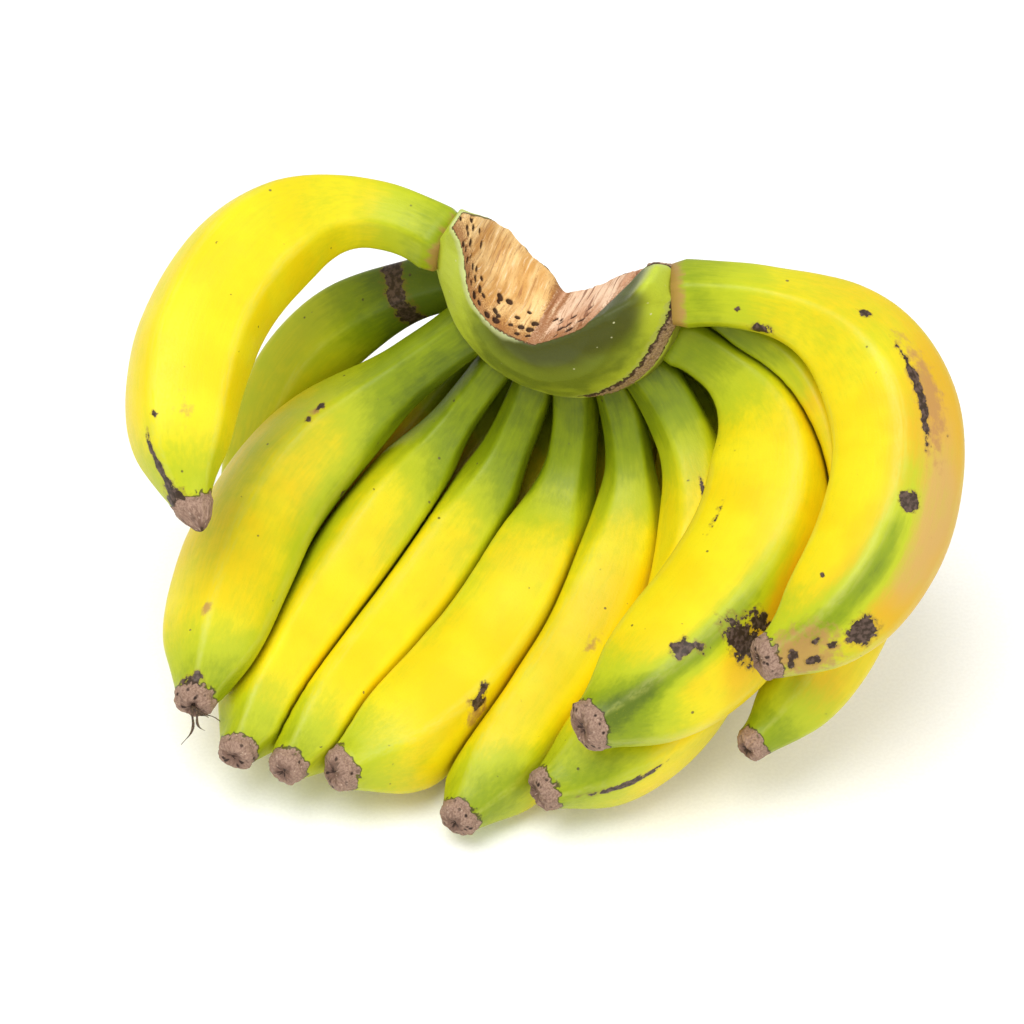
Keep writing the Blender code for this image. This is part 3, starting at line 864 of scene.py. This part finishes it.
def crown_place(points):
    """Each point to the right of the crown's centre, up from it and along the stalk."""
    return (points - CROWN_CENTRE) @ np.stack([RIGHT, UP, ALONG]).T


def read_vectors(data, name):
    flat = np.zeros(len(data) * 3, np.float32)
    data.foreach_get(name, flat)
    return flat.reshape(-1, 3).astype(float)


def crown_piece():
    """The fine crown, raised and lowered by its relief, with what each point of it is."""
    mesh = crown_surface()
    points = read_vectors(mesh.vertices, "co") / MM
    normals = read_vectors(mesh.vertices, "normal")
    place = crown_place(points)
    fields, height = crown_relief(place, normals @ np.stack([RIGHT, UP, ALONG]).T)
    points += normals * height[:, None] + UP * lifted(place)[:, None]
    mesh.vertices.foreach_set("co", (points * MM).astype(np.float32).reshape(-1))
    for field, values in fields.items():
        mesh.attributes.new(field, "FLOAT", "POINT").data.foreach_set("value", values.astype(np.float32))
    vectors = mesh.attributes.new("place", "FLOAT_VECTOR", "POINT")
    vectors.data.foreach_set("vector", place.astype(np.float32).reshape(-1))
    mesh.shade_smooth()
    piece = bpy.data.objects.new("cut_crown", mesh)
    bpy.context.scene.collection.objects.link(piece)
    return piece


def lifted(place):
    """How far up each point of the crown is moved: down on the right arm, up at the left cut's far edge."""
    across, up, along = place.T
    lowered = ARM_LOWERED * smoothstep(7.0, 16.0, up) * smoothstep(10.0, 20.0, across)
    ground = np.interp(across, *np.array(NOTCH_LEFT[::-1]).T)
    raised = FAR_EDGE_RAISED * smoothstep(-26.5, -21.0, across) * smoothstep(-1.5, -8.0, across)
    return raised * smoothstep(16.0, 0.0, along) * smoothstep(-10.0, 0.0, up - ground) - lowered


def on_cut(place, facing, outline, side):
    """How surely each point is on one knife cut, how far out on it, and how far from its outline."""
    corners = np.array(outline, float)
    start, step = corners[:-1], np.diff(corners, axis=0)
    size = np.linalg.norm(step, axis=1)
    rel = place[:, None, :2] - start
    share = np.clip((rel * step).sum(-1) / size**2, 0.0, 1.0)
    away = np.linalg.norm(rel - share[..., None] * step, axis=-1)
    nearest = away.argmin(axis=1)
    rows = np.arange(len(place))
    out = (np.cumsum(size) - size)[nearest] + share[rows, nearest] * size[nearest]
    normals = np.stack([step[:, 1], -step[:, 0]], axis=1) / size[:, None] * side
    facing = (facing[:, :2] * normals[nearest]).sum(axis=1)
    away = away[rows, nearest]
    return smoothstep(0.45, 0.75, facing) * (away < 2.0), out, away


def edges_of(cut, out, along):
    """How far each point of a cut is behind its near edge and in front of its far one."""
    bands = np.arange(0.0, LONGEST_CUT, 1.0)
    near, far = np.zeros(len(bands)), np.zeros(len(bands))
    for k, band in enumerate(bands):
        here = along[(cut > 0.5) & (np.abs(out - band) < 1.0)]
        near[k], far[k] = (here.max(), here.min()) if len(here) else (near[k - 1], far[k - 1])
    return np.interp(out, bands, near) - along, along - np.interp(out, bands, far)


def crown_relief(place, facing):
    """What each point of the crown is, and how far it is raised."""
    fields, below = cut_fields(place, facing)
    cut, across = fields["cut"], place[:, 0]
    radius = np.hypot(place[:, 0], place[:, 1]) / CROWN_RADIUS
    back = smoothstep(0.45, 0.8, -facing[:, 2]) * (1 - cut)
    back *= smoothstep(1.0, 0.88, radius + 0.07 * noise_at(place, 6.0, 9))
    front = (1 - cut) * (1 - back) * (place[:, 2] > 0)
    lip = front * np.exp(-((below / LIP_DEPTH) ** 2))
    rim = rim_scar(place, radius, cut)
    # the lip's colour field is kept to the left side, where it carries a painted highlight
    fields.update({"lip": lip * smoothstep(2.0, -12.0, across), "rim": rim, "back": back})
    fields.update(skin_fields(place, radius, cut, front, below))
    fibres = noise_at(place * (1.0, 1.0, 0.22), 2.0, 3) * cut
    height = 0.25 * noise_at(place, 9.0, 5) + 0.35 * fibres
    height += LIP_RISE * lip - PIT_DROP * fields["pit"] - CUT_DROP * cut
    crust = SCAR_RISE * smoothstep(0.0, 0.35, rim) + BACK_RISE * back
    height += crust * (0.8 + 0.5 * noise_at(place, 1.3, 7)) + BACK_ROUGH * back * noise_at(place, 5.0, 11)
    return fields, height


def cut_fields(place, facing):
    """The two knife cuts, their vessel ends, dark edges and scorch, and how far each point is from both."""
    along = place[:, 2]
    left, left_out, left_away = on_cut(place, facing, NOTCH_LEFT, 1)
    right, right_out, right_away = on_cut(place, facing, NOTCH_RIGHT, -1)
    right *= 1 - smoothstep(22.0, 27.0, right_out + 0.55 * (along - 24.0))
    pit, edge, scorch = np.zeros((3, len(place)))
    for seed, (sure, out) in enumerate(((left, left_out), (right, right_out)), 1):
        behind, ahead = edges_of(sure, out, along)
        pit = np.maximum(pit, pits_on(sure, out, behind, seed) * sure)
        edge = np.maximum(edge, sure * np.exp(-((np.minimum(behind, ahead) / EDGE_LINE) ** 2)))
        corner = 0.9 * np.exp(-(((out - 0.06 * behind) / CORNER_HALF) ** 2))
        scorch = np.maximum(scorch, sure * np.maximum(np.exp(-((behind / SCORCH_DEPTH) ** 2)), corner))
    cut = np.maximum(left, right)
    fields = {"cut": cut, "right": right, "pit": pit, "edge": edge, "scorch": np.minimum(scorch, 1.0)}
    return fields, np.minimum(left_away, right_away)


def rim_scar(place, radius, cut):
    """How surely each point is on the corky scar, which runs round the rim's right side and up its arm."""
    across, up, along = place.T
    turn = np.degrees(np.arctan2(up, across))
    line = RIM_PLACE - 10.0 * smoothstep(14, 30, turn)
    rim = 1 - np.abs(along - line) / (RIM_HALF - 0.010 * np.abs(turn - 20))
    rim -= 2 * smoothstep(-50, -95, turn) + 2 * smoothstep(70, 85, turn)
    rim -= 2 * smoothstep(0.80, 0.74, radius) + 2 * cut
    return np.maximum(rim, -1.0)


def skin_fields(place, radius, cut, front, below):
    """Where the crown's skin is lime, has painted shade below the notch and on the right arm, a painted
    highlight at the face's border and painted shadow under it.
    """
    across, up, along = place.T
    turn = np.degrees(np.arctan2(up, across))
    # Painted shade: dark skin in a band below the notch, wider to the right, kept off the right rim and the
    # face's outer band
    reach = 9.0 + 4.0 * smoothstep(-5.0, 14.0, across)
    shade = smoothstep(1.4, 0.35, below / reach)
    shade *= smoothstep(-24.0, -4.0, across) * smoothstep(35.0, 24.0, across)
    shade *= smoothstep(-1.0, 5.0, along - FACE_RIM - leaning(up, FACE_RIM))
    # more painted shade over the right arm's upward facet, which the light would brighten
    arm = smoothstep(15.0, 20.0, across) * smoothstep(32.0, 24.0, across) * smoothstep(3.0, 9.0, up)
    outer = (1 - cut) * smoothstep(7.0, 10.0, along) * smoothstep(12.0, -4.0, np.abs(turn + 75.0) - 75.0)
    rightward = smoothstep(0.60, 0.95, radius) * (0.5 + 0.5 * smoothstep(0.0, 28.0, across))
    return {
        "lime": np.maximum(smoothstep(-14.0, -30.0, across), rightward),
        "shade": front * np.maximum(shade, 0.8 * arm),
        # painted highlight: a pale line along the face's border
        "border": outer * np.exp(-(((radius - 0.935) / 0.013) ** 2)),
        # painted shadow: dark skin on the side band under the face's rim
        "under": outer * smoothstep(0.955, 0.975, radius),
    }


def pits_on(sure, out, behind, seed):
    """Open ends of the crown's vessels, in rows behind the cut's near edge."""
    rng = np.random.default_rng(seed)
    found = np.zeros(len(out))
    surely = sure > 0.5
    for band in np.arange(PIT_FIRST, out[surely].max(), PIT_STEP):
        for row in PIT_ROWS:
            place = np.array((band, row)) + rng.normal(0, 0.8, 2)
            size = rng.uniform(0.75, 1.35)
            if rng.random() < 0.03 * row + 0.05:
                continue
            away = np.hypot(out - place[0], (behind - place[1]) * 0.75) / size
            found = np.maximum(found, smoothstep(1.3, 0.6, away) * surely)
    return found


def crown_material():
    """Skin, cut flesh, the dry back, the rim's scar with a painted highlight along its inner side, and the
    vessels' open ends.
    """
    s = Shader("crown_tissue")
    place = s.field("place", vector=True)
    fine = s.noise(place, 1.8, 3.0, 0.65)
    soft = s.noise(place, 0.12, 3.0, 0.5)
    fibres = s.noise(s.stretched(place, (1.0, 1.0, 0.10)), 1.1, 3.0, 0.6)
    ragged = s.range(s.noise(place, 0.6, 3.0, 0.6), 0.3, 0.7, -0.2, 0.2)
    cut = s.range(s.field("cut"), 0.4, 0.6)
    colour = s.mix(cut, crown_skin(s, place, soft, fine), cut_tissue(s, place, fibres, fine))
    border = s.math("MULTIPLY", s.range(s.field("cut"), 0.08, 0.35), s.range(s.field("cut"), 0.85, 0.5))
    border = s.math("MAXIMUM", border, s.range(s.math("ADD", s.field("edge"), ragged), 0.4, 0.8))
    colour = s.mix(s.math("MULTIPLY", border, 0.85), colour, CUT_EDGE)
    old = s.mix(s.range(fine, 0.35, 0.65), OLD_DARK, OLD_PALE)
    old = s.mix(s.range(s.noise(place, 0.25, 3.0, 0.6), 0.4, 0.62, 0.0, 0.75), old, OLD_STAIN)
    colour = s.mix(s.math("MULTIPLY", s.field("back"), 0.85), colour, old)
    rim = s.math("ADD", s.field("rim"), ragged)
    # painted highlight: a pale line along the scar's inner side, kept off the painted shadow under the face's
    # rim
    inner = s.math("MULTIPLY", s.range(rim, -0.75, -0.35), s.range(s.field("under"), 0.5, 0.1, 0.0, 0.6))
    colour = s.mix(inner, colour, SCAR_SIDE_HIGHLIGHT)
    colour = s.mix(s.range(rim, -0.15, 0.0), colour, SCAR_LINE)
    bark = s.mix(s.range(fine, 0.35, 0.65), BARK_DARK, BARK_PALE)
    colour = s.mix(s.range(rim, 0.15, 0.40), colour, bark)
    colour = s.mix(s.range(s.field("pit"), 0.25, 0.65, 0.0, 0.95), colour, VESSEL)
    dull = s.math("MAXIMUM", cut, s.range(rim, -0.15, 0.0))
    roughness = s.math("ADD", s.range(fine, 0.3, 0.7, 0.42, 0.55), s.math("MULTIPLY", dull, 0.3))
    height = s.math("ADD", s.math("MULTIPLY", fibres, 0.8), s.math("MULTIPLY", fine, 0.5))
    height = s.math("MULTIPLY", height, s.range(dull, 0.0, 1.0, 0.4, 1.6))
    s.principled.inputs["Specular IOR Level"].default_value = SHINE
    return s.finish(colour, roughness, height, 0.5, BUMP_DEPTH * MM)


def crown_skin(s, place, soft, fine):
    """Green skin, lime at the rim and the left arm, with painted shade below the cuts, a painted highlight on
    its left lip and the face's border, and painted shadow under that border.
    """
    lime = s.math("ADD", s.field("lime"), s.range(soft, 0.3, 0.7, -0.2, 0.2))
    skin = s.mix(s.range(lime, 0.0, 1.0), SKIN, SKIN_LIME)
    # painted shade below the cuts and on the right arm
    shade = s.math("ADD", s.field("shade"), s.range(soft, 0.3, 0.7, -0.1, 0.1))
    skin = s.mix(s.range(shade, 0.05, 0.95, 0.0, 0.88), skin, SKIN_SHADE)
    # painted highlight on the left lip
    lip_highlight = s.math("ADD", s.field("lip"), s.range(soft, 0.3, 0.7, -0.2, 0.2))
    skin = s.mix(s.range(lip_highlight, 0.3, 0.9, 0.0, 0.65), skin, LIP_HIGHLIGHT)
    # painted highlight along the face's border
    skin = s.mix(s.math("MULTIPLY", s.field("border"), 0.7), skin, BORDER_HIGHLIGHT)
    # painted shadow under the face's rim
    skin = s.mix(s.math("MULTIPLY", s.field("under"), 0.7), skin, UNDERSIDE_SHADOW)
    skin = s.mix(s.range(fine, 0.55, 0.8, 0.0, 0.25), skin, SKIN_DARK)
    return s.mix(s.range(s.dots(place, 0.2), 0.09, 0.05, 0.0, 0.8), skin, SKIN_DOT)


def cut_tissue(s, place, fibres, fine):
    """Dried flesh, tan on the left cut and pink on the right, reddish at the near edge and in the corner."""
    coarse = s.noise(s.stretched(place, (1.0, 1.0, 0.3)), 0.2, 3.0, 0.55)
    tan = s.mix(s.range(coarse, 0.35, 0.65), TAN_DARK, TAN_PALE)
    pink = s.mix(s.range(coarse, 0.35, 0.65), PINK_DARK, PINK_PALE)
    tan = s.mix(s.field("right"), tan, pink)
    tan = s.mix(s.range(fibres, 0.54, 0.74, 0.0, 0.65), tan, FIBRE_PALE)
    tan = s.mix(s.range(fibres, 0.47, 0.28, 0.0, 0.7), tan, FIBRE_DARK)
    lines = s.noise(s.stretched(place, (1.0, 1.0, 0.05)), 0.7, 2.0, 0.5)
    dark = s.math("MULTIPLY", s.range(lines, 0.42, 0.34), s.range(s.field("right"), 0.3, 0.7, 0.15, 0.8))
    tan = s.mix(dark, tan, CRACK)
    scorch = s.math("ADD", s.field("scorch"), s.range(fine, 0.3, 0.7, -0.35, 0.35))
    tan = s.mix(s.range(scorch, 0.1, 1.0, 0.0, 0.85), tan, SCORCH)
    return s.mix(s.range(fine, 0.56, 0.76, 0.0, 0.4), tan, GRAIN_DARK)


def add_crown():
    piece = crown_piece()
    piece.data.materials.append(crown_material())
    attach(piece, "root")
    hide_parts("crown")


# Camera: how steeply it looks down, how far away it is, and its aim from the crown's centre
VIEW_RISE = 45.0
VIEW_DISTANCE = 900.0
VIEW_SCALE = 0.296
IMAGE_WIDTH = 1024
SENSOR = 36.0
AIM_SHIFT = (-4.0, -5.0, -5.0)
AIM = (-14.2, -67.2, 30.0)


def add_camera():
    """The photo's viewing angle and frame, for a picture 1024 pixels wide."""
    rise = math.radians(VIEW_RISE)
    across = Vector((1.0, 0.0, 0.0))
    back = Vector((0.0, -math.cos(rise), math.sin(rise)))
    up = Vector((0.0, math.sin(rise), math.cos(rise)))
    aim = Vector(CROWN_CENTRE) + Vector(AIM_SHIFT) + across * AIM[0] + up * AIM[1] + back * AIM[2]
    data = bpy.data.cameras.new("camera")
    data.sensor_width = SENSOR
    data.lens = VIEW_DISTANCE / VIEW_SCALE / IMAGE_WIDTH * SENSOR
    data.clip_start = 0.01
    camera = bpy.data.objects.new("camera", data)
    camera.location = (aim + back * VIEW_DISTANCE) * MM
    camera.rotation_euler = (-back).to_track_quat("-Z", "Y").to_euler()
    bpy.context.scene.collection.objects.link(camera)
    bpy.context.scene.camera = camera


# Floor and light: places and sizes in metres, powers in watts
FLOOR_HALF = 3.0
PAPER_DARK = (0.95, 0.95, 0.95)
PAPER_PALE = (0.98, 0.98, 0.98)
SKY_STRENGTH = 0.72
LIGHTS = (("key", (-0.30, -0.36, 1.40), 1.0, 15.5), ("fill", (0.9, -0.6, 0.9), 1.2, 5.0))
LIT_POINT = (0.0, 0.0, 0.05)


def add_floor():
    """A wide sheet of plain white paper."""
    mesh = bpy.data.meshes.new("floor")
    half = FLOOR_HALF
    corners = [(-half, -half, 0), (half, -half, 0), (half, half, 0), (-half, half, 0)]
    mesh.from_pydata(corners, [], [(0, 1, 2, 3)])
    floor = bpy.data.objects.new("floor", mesh)
    s = Shader("floor_paper")
    grain = s.noise(s.node("TexCoord", output=3), 900.0, 2.0)
    colour = s.mix(s.range(grain, 0.4, 0.6), PAPER_DARK, PAPER_PALE)
    s.feed(s.principled.inputs["Base Color"], colour)
    s.principled.inputs["Roughness"].default_value = 0.9
    mesh.materials.append(s.material)
    bpy.context.scene.collection.objects.link(floor)


def add_area_light(name, place, size, power):
    """A round soft light that faces the hand."""
    data = bpy.data.lights.new(name, "AREA")
    data.shape = "DISK"
    data.size = size
    data.energy = power
    light = bpy.data.objects.new(name, data)
    light.location = place
    light.rotation_euler = (Vector(LIT_POINT) - Vector(place)).to_track_quat("-Z", "Y").to_euler()
    bpy.context.scene.collection.objects.link(light)


def add_light():
    """An even white sky and the two area lights."""
    world = bpy.data.worlds.new("studio")
    world.use_nodes = True
    sky = world.node_tree.nodes["Background"]
    sky.inputs["Color"].default_value = (1.0, 1.0, 1.0, 1.0)
    sky.inputs["Strength"].default_value = SKY_STRENGTH
    bpy.context.scene.world = world
    for light in LIGHTS:
        add_area_light(*light)
    bpy.context.scene.view_settings.view_transform = "Standard"


add_fingers()
add_flower_threads()
add_crown()
add_camera()
add_floor()
add_light()
